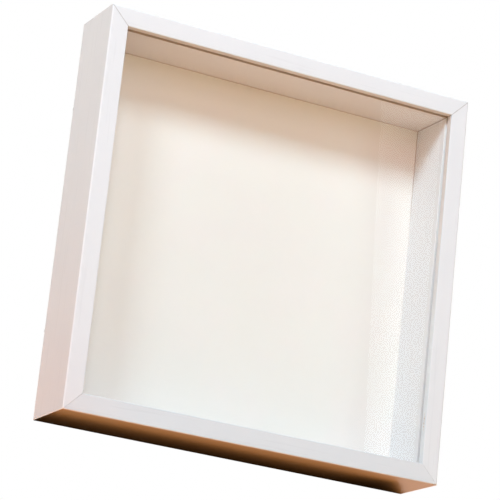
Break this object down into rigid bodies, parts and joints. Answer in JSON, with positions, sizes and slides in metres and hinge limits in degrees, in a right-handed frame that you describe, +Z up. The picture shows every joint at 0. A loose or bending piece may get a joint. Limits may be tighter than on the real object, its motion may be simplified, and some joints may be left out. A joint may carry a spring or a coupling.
{
  "type": "deep box picture frame",
  "caption": "Deep white square box frame with mitred rails, clear glazing, white liner boards, a pale display card and a backing board held by turn buttons, for standing or hanging.",
  "frame": {"origin": "centre of the bottom rail's underside, halfway along the frame's width and depth", "axes": "+X to the right as seen from the front, +Y from the front to the back, +Z up"},
  "size_m": [0.25, 0.0488, 0.25],
  "materials": {
    "rail": "white foil on fibreboard, satin with a fine grain",
    "liner": "white foil on thin fibreboard, satin",
    "glazing": "clear and plain",
    "card": "warm white card, matte",
    "hardboard": "brown hardboard, pressed fibres, matte",
    "nail_steel": "bare steel strip",
    "button_steel": "zinc plated, satin",
    "screw_steel": "zinc plated, bright",
    "hanger_steel": "zinc plated, satin",
    "ring_steel": "zinc plated wire, bright"
  },
  "bodies": {
    "frame": {"rail_top": "rail", "rail_bottom": "rail", "rail_left": "rail", "rail_right": "rail", "corner_nails": "nail_steel", "glazing_sheet": "glazing", "liner_top": "liner", "liner_bottom": "liner", "liner_left": "liner", "liner_right": "liner", "display_card": "card", "backing_board": "hardboard", "turn_button_screws": "screw_steel", "hanger_strap": "hanger_steel", "hanger_rivet": "hanger_steel"},
    "turn_button_bottom_right": {"turn_button_bottom_right": "button_steel"},
    "turn_button_bottom_left": {"turn_button_bottom_left": "button_steel"},
    "turn_button_top_left": {"turn_button_top_left": "button_steel"},
    "turn_button_top_right": {"turn_button_top_right": "button_steel"},
    "turn_button_left_lower": {"turn_button_left_lower": "button_steel"},
    "turn_button_left_upper": {"turn_button_left_upper": "button_steel"},
    "turn_button_right_upper": {"turn_button_right_upper": "button_steel"},
    "turn_button_right_lower": {"turn_button_right_lower": "button_steel"},
    "hanger_ring": {"hanger_ring": "ring_steel"}
  },
  "joints": [
    {"name": "turn_button_bottom_right_turn", "type": "hinge", "parent": "frame", "child": "turn_button_bottom_right", "pos_m": [0.07, 0.0225, 0.0046], "axis": [0, 1, 0], "continuous": true},
    {"name": "turn_button_bottom_left_turn", "type": "hinge", "parent": "frame", "child": "turn_button_bottom_left", "pos_m": [-0.07, 0.0225, 0.0046], "axis": [0, 1, 0], "continuous": true},
    {"name": "turn_button_top_left_turn", "type": "hinge", "parent": "frame", "child": "turn_button_top_left", "pos_m": [-0.07, 0.0225, 0.2454], "axis": [0, 1, 0], "continuous": true},
    {"name": "turn_button_top_right_turn", "type": "hinge", "parent": "frame", "child": "turn_button_top_right", "pos_m": [0.07, 0.0225, 0.2454], "axis": [0, 1, 0], "continuous": true},
    {"name": "turn_button_left_lower_turn", "type": "hinge", "parent": "frame", "child": "turn_button_left_lower", "pos_m": [-0.1204, 0.0225, 0.055], "axis": [0, 1, 0], "continuous": true},
    {"name": "turn_button_left_upper_turn", "type": "hinge", "parent": "frame", "child": "turn_button_left_upper", "pos_m": [-0.1204, 0.0225, 0.195], "axis": [0, 1, 0], "continuous": true},
    {"name": "turn_button_right_upper_turn", "type": "hinge", "parent": "frame", "child": "turn_button_right_upper", "pos_m": [0.1204, 0.0225, 0.195], "axis": [0, 1, 0], "continuous": true},
    {"name": "turn_button_right_lower_turn", "type": "hinge", "parent": "frame", "child": "turn_button_right_lower", "pos_m": [0.1204, 0.0225, 0.055], "axis": [0, 1, 0], "continuous": true},
    {"name": "hanger_ring_swing", "type": "hinge", "parent": "frame", "child": "hanger_ring", "pos_m": [0, 0.02438, 0.214], "axis": [1, 0, 0], "range_deg": [0, 180]}
  ]
}
